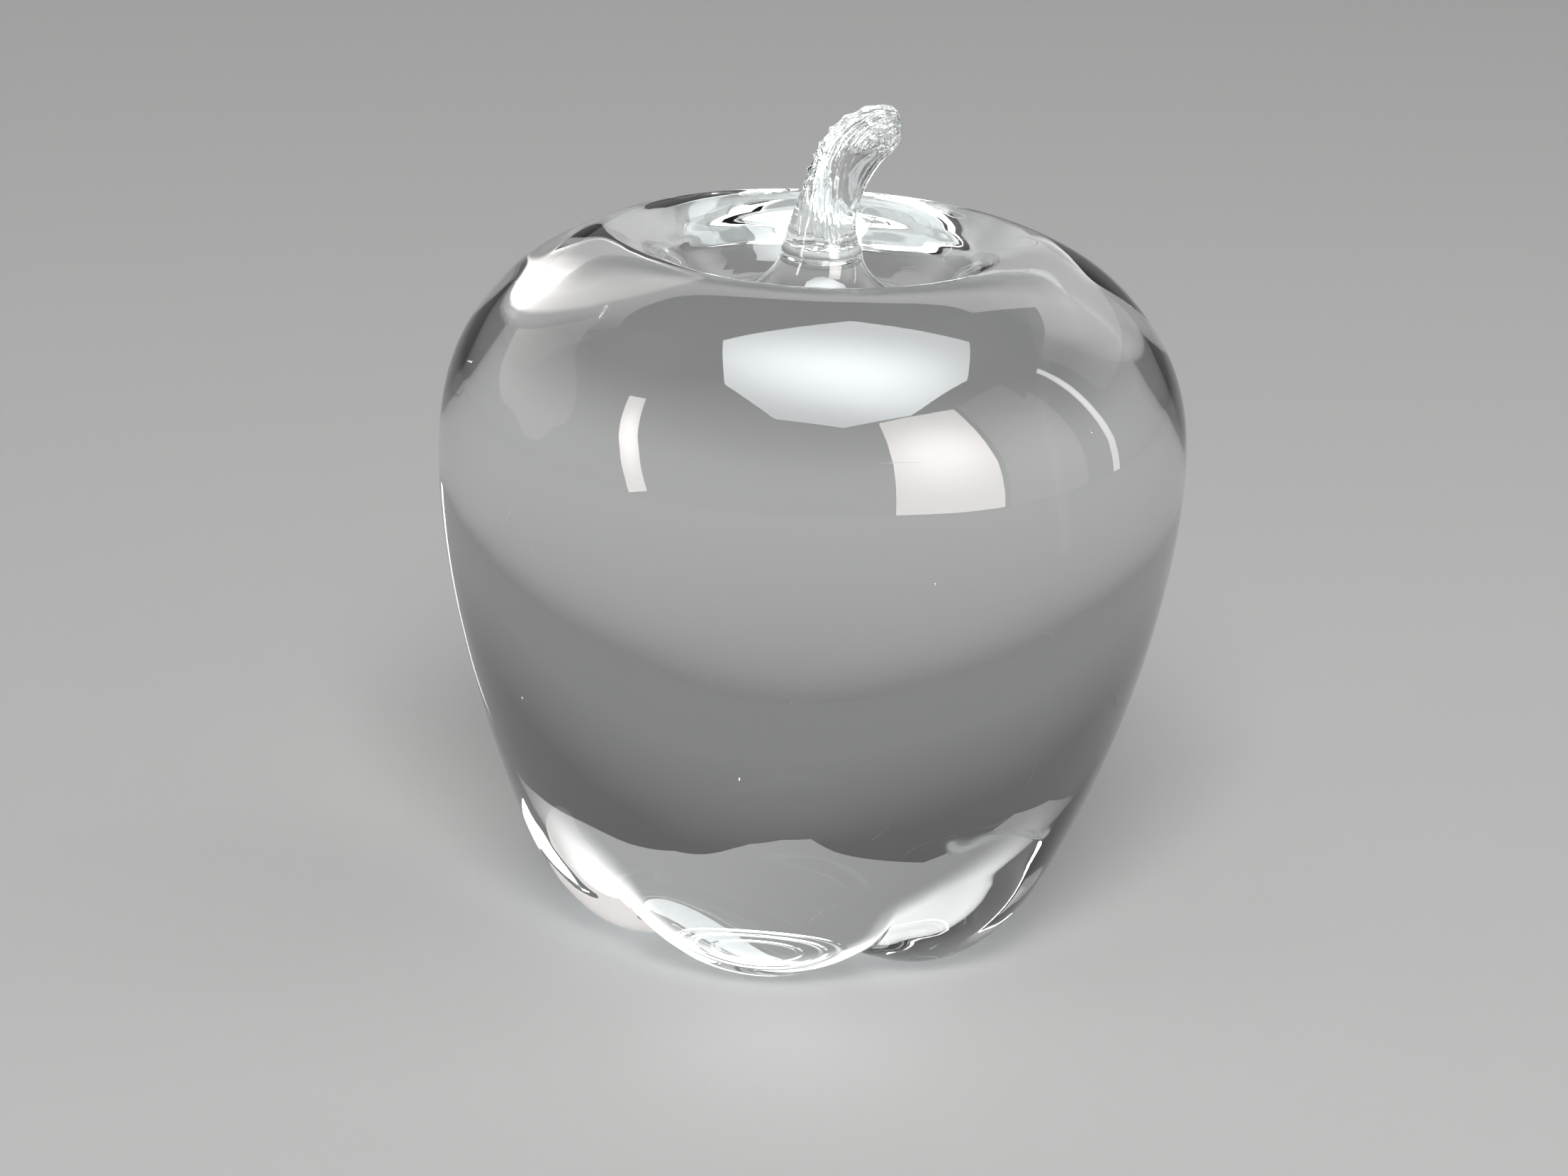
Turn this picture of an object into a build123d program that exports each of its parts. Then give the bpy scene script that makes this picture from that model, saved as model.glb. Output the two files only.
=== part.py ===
from build123d import *
import math
import os

# Solid glass apple paperweight: a lobed body with a hollow top and a short neck, and a separate curved stem
# that was laid on hot and fused to the flat top of the neck. Millimetres and degrees, +Z up.
# The origin is on the table, on the axis of the body. The front of the apple faces -Y.

# Driving dimensions of the body
body_radius = 44.1          # widest, at the equator
body_height = 84.8          # table to the top of the rim round the hollow
equator_height = 60.8
rim_radius = 23.5           # crest of the rim round the top hollow
hollow_depth = 7.2          # rim crest down to the floor of the top hollow
hollow_floor_radius = 11.4  # the floor is a ring round the neck

# Driving dimensions of the lobed base
lobe_count = 5
front_lobe_angle = -102.0   # direction of the lobe nearest the front, from +X
foot_radius = 17.5          # where each lobe stands on the table
foot_flat_depth = 0.15      # worn off the bottom of each lobe, so that it stands on a small flat
crease_depth = 3.1          # deepest press of a crease between two lobes
press_height = 14.0         # the tool presses the creases towards a ring at this height
crease_sharp_height = 6.0   # up to here the crease is a sharp V
crease_soft_height = 15.0   # from here up it is a smooth valley
punty_radius = 9.0          # edge of the hollow ground where the rod was broken off
punty_edge_height = 1.6
punty_depth = 2.0           # rise of the ground hollow above its edge

# Driving dimensions of the stem and its weld
weld_radius = 4.85
weld_drop = 1.65            # rim crest down to the flat top of the neck
stem_rise = 15.8            # weld to the middle of the stem's free end
stem_reach = 8.6            # how far the stem leans out to +X at its free end
stem_waist_radius = 3.42
stem_end_radius = 2.4
stem_end_rounding = 2.15
stem_end_tilt = 22.0        # the free end points this far above level

# The lobes are made as wedges round a plain core, whose size shows nowhere on the finished body
core_share = 0.6            # of the weld's radius
wedge_overlap_share = 0.5   # the wedges start inside the core, at this share of its radius

# Sizes worked out from the driving ones
weld_height = body_height - weld_drop
floor_height = body_height - hollow_depth
lobe_pitch = 360.0 / lobe_count
core_radius = weld_radius * core_share
punty_sphere_radius = (punty_radius ** 2 + punty_depth ** 2) / (2 * punty_depth)

# Stations of a lobe's outline, from the base up, as shares of the way from one named size to the next.
# The third share is how much of the crease depth the tool presses in at that station.
base_shares = ((0.514, 1.00, 0.32), (0.743, 0.25, 0.65))
flank_shares = (
    (0.000, 0.000, 0.90),
    (0.184, 0.018, 1.00),
    (0.350, 0.071, 0.94),
    (0.485, 0.146, 0.77),
    (0.617, 0.266, 0.39),
    (0.759, 0.434, 0.13),
    (0.906, 0.661, 0.00),
    (0.987, 0.868, 0.00),
    (1.000, 1.000, 0.00),
)
shoulder_shares = ((0.932, 0.350), (0.772, 0.604), (0.544, 0.808), (0.296, 0.933), (0.0, 1.0))
hollow_shares = ((0.65, 0.18), (0.40, 0.58), (0.18, 0.89), (0.0, 1.0))
neck_shares = ((0.48, 0.28), (0.24, 0.50), (0.107, 0.685), (0.0, 1.0), (-0.01, 1.2))

# The cut that squares off the neck reaches this share of the way from the weld's radius to the hollow's floor
neck_cut_share = 0.2

# Turns from a lobe's middle to the creases on both sides, as shares of half a lobe
segment_turn_shares = (-1.0, -0.667, -0.333, 0.0, 0.333, 0.667, 1.0)

# The stem's middle line, as shares of its reach and rise, and its round sections at shares of that line's
# length: near the weld as shares of the way from waist to weld radius, then from end to waist radius
stem_line_shares = (
    (0.0, 0.0),
    (0.003, 0.19),
    (0.085, 0.41),
    (0.21, 0.61),
    (0.37, 0.785),
    (0.63, 0.92),
    (1.0, 1.0),
)
stem_foot_shares = ((0.0, 1.0), (0.14, 0.41), (0.30, 0.10))
stem_tip_shares = ((0.50, 1.0), (0.70, 1.0), (0.86, 0.54), (1.0, 0.0))


def between(start, end, share):
    """Return the size that lies this share of the way from start to end."""
    return start + (end - start) * share


def lobe_stations():
    """Return radius, height and press of each station on the outline through the middle of a lobe."""
    stations = [(core_radius * wedge_overlap_share, punty_edge_height, 0)]
    for out, up, press in base_shares:
        stations.append((foot_radius * out, between(-foot_flat_depth, punty_edge_height, up), press))
    for out, up, press in flank_shares:
        radius = between(foot_radius, body_radius, out)
        stations.append((radius, between(-foot_flat_depth, equator_height, up), press))
    for out, up in shoulder_shares:
        stations.append((between(rim_radius, body_radius, out), between(equator_height, body_height, up), 0))
    for out, down in hollow_shares:
        radius = between(hollow_floor_radius, rim_radius, out)
        stations.append((radius, between(body_height, floor_height, down), 0))
    for out, up in neck_shares:
        radius = between(weld_radius, hollow_floor_radius, out)
        stations.append((radius, between(floor_height, weld_height, up), 0))
    return stations


def outline_at(turn_share):
    """Return the outline's points in the plane at this share of half a lobe away from the lobe's middle."""
    points = []
    sharp = abs(turn_share) ** 2
    smooth = math.sin(abs(turn_share) * math.pi / 2) ** 2
    for radius, height, press in lobe_stations():
        softness = (height - crease_sharp_height) / (crease_soft_height - crease_sharp_height)
        softness = min(max(softness, 0), 1)
        depth = crease_depth * press * between(sharp, smooth, softness)
        inwards = Vector(foot_radius - radius, press_height - height).normalized() * depth
        points.append((radius + inwards.X, height + inwards.Y))
    return points


def upright_plane(angle):
    """Return the plane through the axis at this angle from +X, with its X outwards and its Y up."""
    outwards = Vector(1, 0, 0).rotate(Axis.Z, angle)
    return Plane(origin=(0, 0, 0), x_dir=outwards, z_dir=outwards.cross(Vector(0, 0, 1)))


# One lobe of the body, a wedge that reaches from crease to crease and from the table to above the weld
with BuildPart() as segment:
    for turn_share in segment_turn_shares:
        outline = outline_at(turn_share)
        inner_edge, top = outline[0][0], outline[-1][1]
        with BuildSketch(upright_plane(front_lobe_angle + turn_share * lobe_pitch / 2)):
            with BuildLine():
                Spline(*outline)
                Polyline(outline[-1], (inner_edge, top), outline[0])
            make_face()
    loft()
    Cylinder(core_radius, body_height * 2, mode=Mode.SUBTRACT)

# The body: all lobes round a core, cut flat for the feet and the weld, with the punty mark ground out
with BuildPart() as apple_body:
    with BuildSketch(Plane.XY.offset(punty_edge_height)):
        Circle(core_radius)
    extrude(amount=body_height - punty_edge_height)
    with PolarLocations(0, lobe_count):
        add(segment.part)
    split(bisect_by=Plane.XY, keep=Keep.TOP)
    with BuildSketch(Plane.XY.offset(weld_height)):
        Circle(between(weld_radius, hollow_floor_radius, neck_cut_share))
    extrude(amount=stem_rise, mode=Mode.SUBTRACT)
    with Locations((0, 0, punty_edge_height + punty_depth - punty_sphere_radius)):
        Sphere(punty_sphere_radius, mode=Mode.SUBTRACT)

# The stem: round sections along a curved middle line, from the weld to the blunt rounded end
with BuildPart() as stem:
    with BuildLine(Plane.XZ) as stem_line:
        stem_points = [(stem_reach * out, weld_height + stem_rise * up) for out, up in stem_line_shares]
        end_direction = (math.cos(math.radians(stem_end_tilt)), math.sin(math.radians(stem_end_tilt)))
        middle = Spline(*stem_points, tangents=((0, 1), end_direction))
    sections = [(along, between(stem_waist_radius, weld_radius, share)) for along, share in stem_foot_shares]
    sections += [(along, between(stem_end_radius, stem_waist_radius, share)) for along, share in stem_tip_shares]
    for along, radius in sections:
        with BuildSketch(Plane(origin=middle @ along, x_dir=(0, 1, 0), z_dir=middle % along)):
            Circle(radius)
    loft()
    free_end = stem.faces().filter_by(GeomType.PLANE).sort_by(Axis.Z)[-1]
    fillet(free_end.edges(), stem_end_rounding)

apple_body.part.label = "apple_body"
stem.part.label = "stem"

os.makedirs("parts", exist_ok=True)
export_step(apple_body.part, "parts/apple_body.step")
export_step(stem.part, "parts/stem.step")
for piece in (apple_body.part, stem.part):
    print(piece.label, "volume", round(piece.volume, 1), "valid", piece.is_valid)
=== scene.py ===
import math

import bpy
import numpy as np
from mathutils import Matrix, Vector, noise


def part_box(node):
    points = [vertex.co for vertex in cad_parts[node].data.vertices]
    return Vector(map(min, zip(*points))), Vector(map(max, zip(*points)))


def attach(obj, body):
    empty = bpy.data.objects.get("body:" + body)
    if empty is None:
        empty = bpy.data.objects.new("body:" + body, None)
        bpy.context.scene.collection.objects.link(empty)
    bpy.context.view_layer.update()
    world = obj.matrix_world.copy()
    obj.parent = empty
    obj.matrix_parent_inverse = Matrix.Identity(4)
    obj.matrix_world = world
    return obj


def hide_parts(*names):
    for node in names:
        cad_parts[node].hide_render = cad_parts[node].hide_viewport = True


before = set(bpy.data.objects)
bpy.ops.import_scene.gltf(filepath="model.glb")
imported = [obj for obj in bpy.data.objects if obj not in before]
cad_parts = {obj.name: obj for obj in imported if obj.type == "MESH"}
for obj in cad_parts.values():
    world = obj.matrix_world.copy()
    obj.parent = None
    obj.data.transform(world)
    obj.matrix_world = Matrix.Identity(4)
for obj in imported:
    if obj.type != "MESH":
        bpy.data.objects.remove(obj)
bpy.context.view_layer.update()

# %% [markdown]
# This notebook dresses a solid glass apple paperweight. The real one is two pieces of clear crystal: a lobed
# body, and a curved stem that was laid on hot and fused to the body's neck. The CAD frame gives the true
# sizes. Clear glass shows every facet of a coarse mesh, so both pieces are built again here, much finer,
# on the same outlines, and each one stands for its CAD node.

mm = 0.001


def in_mm(size):
    """Return a size in millimetres, rounded."""
    return round(float(size) / mm, 2)


body_low, body_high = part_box("apple_body")
stem_low, stem_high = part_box("stem")
body_radius = (body_high.x - body_low.x) / 2
body_height = body_high.z
weld_height = stem_low.z
print("body radius", in_mm(body_radius), "body height", in_mm(body_height), "mm")
print("weld height", in_mm(weld_height), "stem top", in_mm(stem_high.z), "mm")


def add_object(name, data):
    """Put new data into the scene as an object."""
    thing = bpy.data.objects.new(name, data)
    bpy.context.scene.collection.objects.link(thing)
    return thing


# %% [markdown]
# The camera comes first, because the lights are placed by what they do in its picture. It looks down at the
# apple by about 17 degrees from 0.9 m away, and it is rolled a little, so the apple leans to the right.
# A long lens at that distance keeps the sides of the apple nearly parallel.

# %% The camera
camera_distance = 0.9
camera_elevation = math.radians(16.67)
camera_roll = math.radians(2.47)
camera_aside = -2.66 * mm  # it stands a little left of the apple's axis
aim_height = 42 * mm
camera_lens = 173.96  # millimetres of focal length on a sensor 36 millimetres wide

camera_data = bpy.data.cameras.new("camera")
camera_data.lens = camera_lens
camera_data.sensor_width = 36
camera_data.clip_start = 0.05
camera_data.clip_end = 50
camera = add_object("camera", camera_data)
camera.location = (
    camera_aside,
    -camera_distance * math.cos(camera_elevation),
    aim_height + camera_distance * math.sin(camera_elevation),
)
tilt = Matrix.Rotation(math.pi / 2 - camera_elevation, 4, "X")
camera.rotation_euler = (tilt @ Matrix.Rotation(camera_roll, 4, "Z")).to_euler()
bpy.context.scene.camera = camera
bpy.context.scene.view_settings.view_transform = "Standard"
print("camera at", [round(x, 4) for x in camera.location])

# %% [markdown]
# Glass bends what is seen through it, so a kink that paint would hide shows as a line. The outline of the
# apple is therefore one cubic curve whose slope and bend are both continuous. Blender's Bezier handles only
# keep the slope, so this small helper solves for the natural cubic through a list of points.

# %% A smooth curve through points
def gap_lengths(points):
    """Return the distance from each point to the next, by the first two numbers of each."""
    return np.linalg.norm(np.diff(np.array(points, float)[:, :2], axis=0), axis=1)


def smooth_curve(points, places):
    """Return the natural cubic through the points at these places, which are lengths along the points."""
    points = np.array(points, float)
    gaps = gap_lengths(points)
    knots = np.concatenate([[0], np.cumsum(gaps)])
    size = len(points)
    matrix = np.eye(size)
    right = np.zeros_like(points)
    for i in range(1, size - 1):
        before, after = gaps[i - 1], gaps[i]
        matrix[i, i - 1:i + 2] = before, 2 * (before + after), after
        right[i] = 6 * ((points[i + 1] - points[i]) / after - (points[i] - points[i - 1]) / before)
    bends = np.linalg.solve(matrix, right)
    index = np.clip(np.searchsorted(knots, places) - 1, 0, size - 2)
    gap = gaps[index][:, None]
    left, ahead = (places - knots[index])[:, None], (knots[index + 1] - places)[:, None]
    line = points[index] * ahead / gap + points[index + 1] * left / gap
    line += bends[index] * (ahead ** 3 / gap - ahead * gap) / 6
    line += bends[index + 1] * (left ** 3 / gap - left * gap) / 6
    return line


def between(start, end, share):
    """Return the size that lies this share of the way from start to end."""
    return start + (end - start) * share


# %% [markdown]
# The body was shaped by turning hot glass against a wet block, so most of it is round about one axis. Its
# outline starts at the middle of the base, runs out under a lobe, up the flank, over the shoulder and the
# rim, down into the hollow, and up the neck to the weld. Each station is a share of the way between two
# named sizes, the same shares that the CAD model uses.

# %% The outline of the body
equator_height = 60.8 * mm
rim_radius = 23.5 * mm
hollow_floor_radius = 11.4 * mm
hollow_floor_height = body_height - 7.2 * mm
foot_radius = 17.5 * mm
foot_flat_depth = 0.15 * mm
punty_radius = 9.0 * mm
punty_edge_height = 1.6 * mm
weld_radius = 4.85 * mm

# Two radii, two heights, and the stations as shares of the way between them
stretches = (
    (0, foot_radius, -foot_flat_depth, punty_edge_height, ((0.083, 1), (0.514, 1), (0.743, 0.25))),
    (foot_radius, body_radius, -foot_flat_depth, equator_height, (
        (0, 0), (0.184, 0.018), (0.35, 0.071), (0.485, 0.146), (0.617, 0.266), (0.759, 0.434),
        (0.906, 0.661), (0.987, 0.868), (1, 1),
    )),
    (rim_radius, body_radius, equator_height, body_height, (
        (0.932, 0.35), (0.772, 0.604), (0.544, 0.808), (0.296, 0.933), (0, 1),
    )),
    (hollow_floor_radius, rim_radius, body_height, hollow_floor_height, (
        (0.65, 0.18), (0.4, 0.58), (0.18, 0.89), (0, 1),
    )),
    (weld_radius, hollow_floor_radius, hollow_floor_height, weld_height, (
        (0.48, 0.28), (0.24, 0.5), (0.107, 0.685), (0, 1), (-0.01, 1.2),
    )),
)
# How far the creasing tool was pressed in at the first stations, as shares. Further up it does not reach.
presses = (0, 0.32, 0.65, 0.9, 1, 0.94, 0.77, 0.39, 0.13)

stations = np.array([
    (between(inner, outer, out), between(low, high, up), 0)
    for inner, outer, low, high, shares in stretches for out, up in shares
])
stations[:len(presses), 2] = presses
print(len(stations), "stations on the outline")

# %% [markdown]
# The rows of the mesh are close together where the glass turns fast, such as under the lobes, at the edge of
# the ground mark and up the neck, and wide apart on the long flank. In the list of stretches, each entry says
# at which station it ends and how many rows it gets.

# %% Rows along the outline
station_lengths = np.concatenate([[0], np.cumsum(gap_lengths(stations))])
weld_station = len(stations) - 2
row_stretches = ((1, 34), (3, 26), (5, 20), (8, 26), (12, 22), (17, 38), (21, 38), (weld_station, 34))
disc_shares = (0.94, 0.75, 0.5, 0.25, 0)  # rows on the flat of the weld, as shares of its radius

places, start = [], 0.0
for last_station, rows in row_stretches:
    end = station_lengths[last_station]
    places.append(np.linspace(start, end, rows, endpoint=False))
    start = end
outline = smooth_curve(stations, np.concatenate(places + [[end]]))
outline[-1, :2] = weld_radius, weld_height
disc_rows = [(weld_radius * share, weld_height, 0) for share in disc_shares]
outline = np.concatenate([[(0, punty_edge_height, 0)], outline, disc_rows])
print(len(outline), "points on the outline,", in_mm(station_lengths[weld_station]), "mm long")

# %% [markdown]
# A turned shape is made with Spin. The outline is entered as a chain of edges, with the press of the tool
# kept as a number on each vertex. Spin copies that number along with the vertex, so it is still there when
# the lobes are pressed. The seam and the two poles come out double and are merged.

# %% Helpers for selecting and closing
merge_distance = 1e-6


def deselect_all():
    """Deselect every object, because operators act on all that is selected."""
    if bpy.context.object and bpy.context.object.mode != "OBJECT":
        bpy.ops.object.mode_set(mode="OBJECT")
    bpy.ops.object.select_all(action="DESELECT")


def take_up(piece):
    """Select one piece alone and make it the active one."""
    deselect_all()
    piece.select_set(True)
    bpy.context.view_layer.objects.active = piece


def open_mesh(piece):
    """Take up a piece and go into edit mode with all of its mesh selected."""
    take_up(piece)
    bpy.ops.object.mode_set(mode="EDIT")
    bpy.ops.mesh.select_all(action="SELECT")


def close_shell(piece):
    """Merge the doubles of a piece and turn its faces outwards."""
    open_mesh(piece)
    bpy.ops.mesh.remove_doubles(threshold=merge_distance)
    bpy.ops.mesh.normals_make_consistent(inside=False)
    bpy.ops.object.mode_set(mode="OBJECT")
    print(piece.name, "has", len(piece.data.vertices), "vertices and", len(piece.data.polygons), "faces")


# %% Spin the outline
spin_steps = 360

body_mesh = bpy.data.meshes.new("crystal_body")
body_mesh.from_pydata(
    [(radius, 0, height) for radius, height, _ in outline],
    [(i, i + 1) for i in range(len(outline) - 1)],
    [],
)
kept_press = body_mesh.attributes.new("press", "FLOAT", "POINT")
kept_press.data.foreach_set("value", outline[:, 2].astype(np.float32))
body = add_object("crystal_body", body_mesh)
open_mesh(body)
bpy.ops.mesh.spin(steps=spin_steps, angle=2 * math.pi, center=(0, 0, 0), axis=(0, 0, 1))
close_shell(body)

# %% [markdown]
# The five lobes of the base were made with a thin tool, pressed up and in between them while the glass was
# soft. Seen from below, the press is a sharp crease that softens into a wide valley as it climbs. Each vertex
# moves towards a ring inside the lobe, by the press kept on it times a share that grows from the middle of
# its lobe to the crease. After that the feet are worn flat, and the rod mark is ground out as a shallow dish.

# %% Helpers for moving vertices
def read_points(piece):
    """Return the vertices of a piece as an array."""
    points = np.zeros(len(piece.data.vertices) * 3)
    piece.data.vertices.foreach_get("co", points)
    return points.reshape(-1, 3)


def write_points(piece, points):
    """Put an array back as the vertices of a piece."""
    piece.data.vertices.foreach_set("co", points.ravel())
    piece.data.update()


def unit(vectors):
    """Return the vectors at length 1."""
    return vectors / np.linalg.norm(vectors, axis=1)[:, None]


def smooth_step(values, low, high):
    """Return 0 below low, 1 above high and a smooth rise between."""
    share = np.clip((values - low) / (high - low), 0, 1)
    return share * share * (3 - 2 * share)


def zone(values, rise_start, rise_end, fall_start, fall_end):
    """Return 1 inside a zone and 0 outside it, with a smooth rise and fall at its ends."""
    return smooth_step(values, rise_start, rise_end) * (1 - smooth_step(values, fall_start, fall_end))


points = read_points(body)
radius, height = np.hypot(points[:, 0], points[:, 1]), points[:, 2]
angle = np.arctan2(points[:, 1], points[:, 0])
print("widest", in_mm(radius.max()), "mm from the axis")

# %% Press the lobes
lobe_count = 5
front_lobe_angle = math.radians(-102)
crease_depth = 3.1 * mm
press_height = 14.0 * mm
crease_sharp_height = 6.0 * mm
crease_soft_height = 15.0 * mm

press = np.zeros(len(points))
body_mesh.attributes["press"].data.foreach_get("value", press)
lobe_pitch = 2 * math.pi / lobe_count
turn = (angle - front_lobe_angle + lobe_pitch / 2) % lobe_pitch - lobe_pitch / 2
turn_share = np.abs(turn) / (lobe_pitch / 2)
softness = np.clip((height - crease_sharp_height) / (crease_soft_height - crease_sharp_height), 0, 1)
depth = crease_depth * press * between(turn_share ** 2, np.sin(turn_share * math.pi / 2) ** 2, softness)
inwards = unit(np.stack([foot_radius - radius, press_height - height], axis=1))
radius = radius + inwards[:, 0] * depth
height = height + inwards[:, 1] * depth
print("deepest crease", in_mm(depth.max()), "mm")

# %% Grind the rod mark and wear the feet
punty_depth = 2.0 * mm
punty_sphere_radius = (punty_radius ** 2 + punty_depth ** 2) / (2 * punty_depth)
punty_sphere_height = punty_edge_height + punty_depth - punty_sphere_radius
punty_zone = 1.3 * punty_radius
polish_ring_pitch = 1.7 * mm
polish_ring_depth = 0.035 * mm
polish_start, polish_full = 0.1 * punty_radius, 0.3 * punty_radius  # the rings leave the middle out

dish = np.sqrt(np.maximum(punty_sphere_radius ** 2 - radius ** 2, 0)) + punty_sphere_height
ring = polish_ring_depth * np.cos(2 * math.pi * radius / polish_ring_pitch)
dish = dish + ring * smooth_step(radius, polish_start, polish_full)
ground = (radius < punty_zone) & (height < dish)
height = np.where(ground, dish, np.maximum(height, 0))
print("ground vertices", int(ground.sum()), "worn vertices", int((height == 0).sum()))

# %% [markdown]
# The block left fine rings in the hollow. They are only 0.03 mm deep, but they break the bright image that
# the hollow mirrors into streaks.

# %% The rings in the hollow
hollow_ring_pitch = 1.9 * mm
hollow_ring_depth = 0.03 * mm
hollow_ring_zone = np.array([9, 11, 17, 20]) * mm  # radii at which the rings start, are full, and end

in_hollow = zone(radius, *hollow_ring_zone) * (height > equator_height)
height = height + hollow_ring_depth * np.cos(2 * math.pi * radius / hollow_ring_pitch) * in_hollow
print("hollow rings", in_mm(hollow_ring_pitch), "mm apart")

# %% [markdown]
# Glass that was worked by hand is never quite true. A slow swell of a few hundredths of a millimetre, too
# small to see in the outline, is what makes straight things waver when they are seen through it. It fades out
# at the feet, the ground mark and the weld, which have to meet other things.

# %% The slow swell of hand-worked glass
swell_depth = 0.08 * mm
swell_size = 17 * mm
swell_seed = Vector((3.1, 7.7, 1.9))
swell_start, swell_full = 4 * mm, 16 * mm  # heights over the table

flat = np.stack([radius * np.cos(angle), radius * np.sin(angle), height], axis=1)
swell = np.array([noise.noise(Vector(p) / swell_size + swell_seed) for p in flat])
swell *= smooth_step(height, swell_start, swell_full) * smooth_step(radius, hollow_floor_radius, rim_radius)
away = unit(flat - np.array([0, 0, body_height / 2]))
write_points(body, flat + away * (swell * swell_depth)[:, None])
body_mesh.attributes.remove(body_mesh.attributes["press"])
print("swell up to", in_mm(np.abs(swell).max() * swell_depth), "mm")

# %% [markdown]
# The stem is a bit of hot glass that was dropped on the neck, drawn out, bent over and crimped. A grid is
# wrapped round its curved middle line: one side of the grid runs along the stem, the other goes round it.
# The rows are close together at the weld, where a bead bulges out, and at the rounded tip. The first rows
# cover the flat face of the weld and the last ones close the tip, so the skin ends in two merged poles.

# %% The middle line of the stem
stem_rise = 15.8 * mm
stem_reach = 8.6 * mm
stem_waist_radius = 3.42 * mm
stem_end_radius = 2.4 * mm
stem_line_shares = (
    (0, 0), (0.003, 0.19), (0.085, 0.41), (0.21, 0.61), (0.37, 0.785), (0.63, 0.92), (1, 1),
)
# Share of the middle line's length, and the radius there
stem_girths = (
    (0.0, weld_radius),
    (0.14, between(stem_waist_radius, weld_radius, 0.41)),
    (0.30, between(stem_waist_radius, weld_radius, 0.10)),
    (0.50, stem_waist_radius),
    (0.70, stem_waist_radius),
    (0.86, between(stem_end_radius, stem_waist_radius, 0.54)),
    (1.0, stem_end_radius),
)
# Up to these lengths the line is upright, and in the middle, so that the foot lies flat on the weld.
upright_zone = 2.4 * mm
centred_zone = 1.0 * mm

line_points = [(stem_reach * out, weld_height + stem_rise * up) for out, up in stem_line_shares]
stem_length = float(gap_lengths(line_points).sum())
girth_points = [(share * stem_length, girth) for share, girth in stem_girths]
print("stem middle line", in_mm(stem_length), "mm long")


def stem_frame(places):
    """Return the middle line at these lengths, and its directions forwards and inwards, in X and Z."""
    step = stem_length * 1e-4
    centre = smooth_curve(line_points, places)
    forwards = smooth_curve(line_points, places + step) - smooth_curve(line_points, places - step)
    forwards[:, 0] *= smooth_step(places, 0, upright_zone)
    centre[:, 0] *= smooth_step(places, 0, centred_zone)
    forwards = unit(forwards)
    return centre, forwards, np.stack([forwards[:, 1], -forwards[:, 0]], axis=1)


# %% Rows along the stem
stem_end_rounding = 2.15 * mm
shaft_end = stem_length - stem_end_rounding
tip_turns = np.linspace(0, math.pi / 2, 18)


def rows_of(place, loss=0.0, lean=0.0, inset=1.0):
    """Return rows: the place along the stem, the radius lost, the lean, and a share of the radius."""
    return np.stack(np.broadcast_arrays(place, loss, lean, inset), axis=1)


stem_rows = np.concatenate([
    rows_of(0.0, inset=[0, 0.3, 0.6, 0.85]),
    rows_of(np.linspace(0, upright_zone, 34, endpoint=False)),
    rows_of(np.linspace(upright_zone, shaft_end, 92, endpoint=False)),
    rows_of(
        stem_length - stem_end_rounding * (1 - np.sin(tip_turns)),
        stem_end_rounding * (1 - np.cos(tip_turns)), tip_turns,
    ),
    rows_of(stem_length, stem_end_rounding, math.pi / 2, [0.5, 0]),
])
print(len(stem_rows), "rows along the stem")

# %% Wrap a grid round the middle line
stem_columns = 400
stem_steps = len(stem_rows) - 1

deselect_all()
bpy.ops.mesh.primitive_grid_add(x_subdivisions=stem_columns, y_subdivisions=stem_steps, size=1)
stem = bpy.context.object
stem.name = stem.data.name = "crystal_stem"
grid = read_points(stem)
turn_round = (grid[:, 0] + 0.5) * 2 * math.pi  # 0 on the inner side of the bend, 90 degrees at the front
row = np.round((grid[:, 1] + 0.5) * stem_steps).astype(int)
place, loss, lean, inset = stem_rows[row].T
centre, forwards, inwards = stem_frame(place)
girth = (smooth_curve(girth_points, place)[:, 1] - loss) * inset
spoke = np.stack([
    inwards[:, 0] * np.cos(turn_round), -np.sin(turn_round), inwards[:, 1] * np.cos(turn_round),
], axis=1)
ahead = np.insert(forwards, 1, 0, axis=1)
plain_skin = np.insert(centre, 1, 0, axis=1) + spoke * girth[:, None]
outwards = spoke * np.cos(lean)[:, None] + ahead * np.sin(lean)[:, None]
print("grid", stem_columns, "by", stem_steps)

# %% [markdown]
# The tool left its marks while the glass was stiffening. A bead squeezed out all round the weld. Long folds
# run up the front and along the inner side. A band of fine ridges twists from the foot round to the outer
# side, where short teeth cross it, and the cut tip is crumpled. Each mark is a height along the outward
# direction, because these marks are real shape that bends light and shows in the outline.

# %% The bead and the folds
def wave(points, size, seed):
    """Return smooth noise between -1 and 1 at these points, with swells of about this size."""
    shift = Vector((seed, seed * 1.7, seed * 0.6))
    return np.array([noise.noise(Vector(p) / size + shift) for p in points])


def bump_at(values, middle, width):
    """Return a round bump of height 1 at the middle value."""
    return np.exp(-((values - middle) / width) ** 2)


bead_height, bead_place, bead_width = 0.11 * mm, 0.55 * mm, 0.36 * mm
bead_start = 0.3 * mm
bead_waver = 0.7  # how far the bead's height wavers, as a share of it
groove_depth, groove_place, groove_width = 0.05 * mm, 1.45 * mm, 0.33 * mm
fold_fade = 0.08  # length of the ends of a fold, as a share of the stem
fold_waver = 3  # degrees

share_along = place / stem_length
turn_degrees = np.degrees(turn_round)
slow = wave(plain_skin, 2.6 * mm, 4.1)
bead = bead_height * (1 + bead_waver * slow) * bump_at(place, bead_place, bead_width)
bead *= smooth_step(place, 0, bead_start)
bead -= groove_depth * bump_at(place, groove_place, groove_width)

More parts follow.
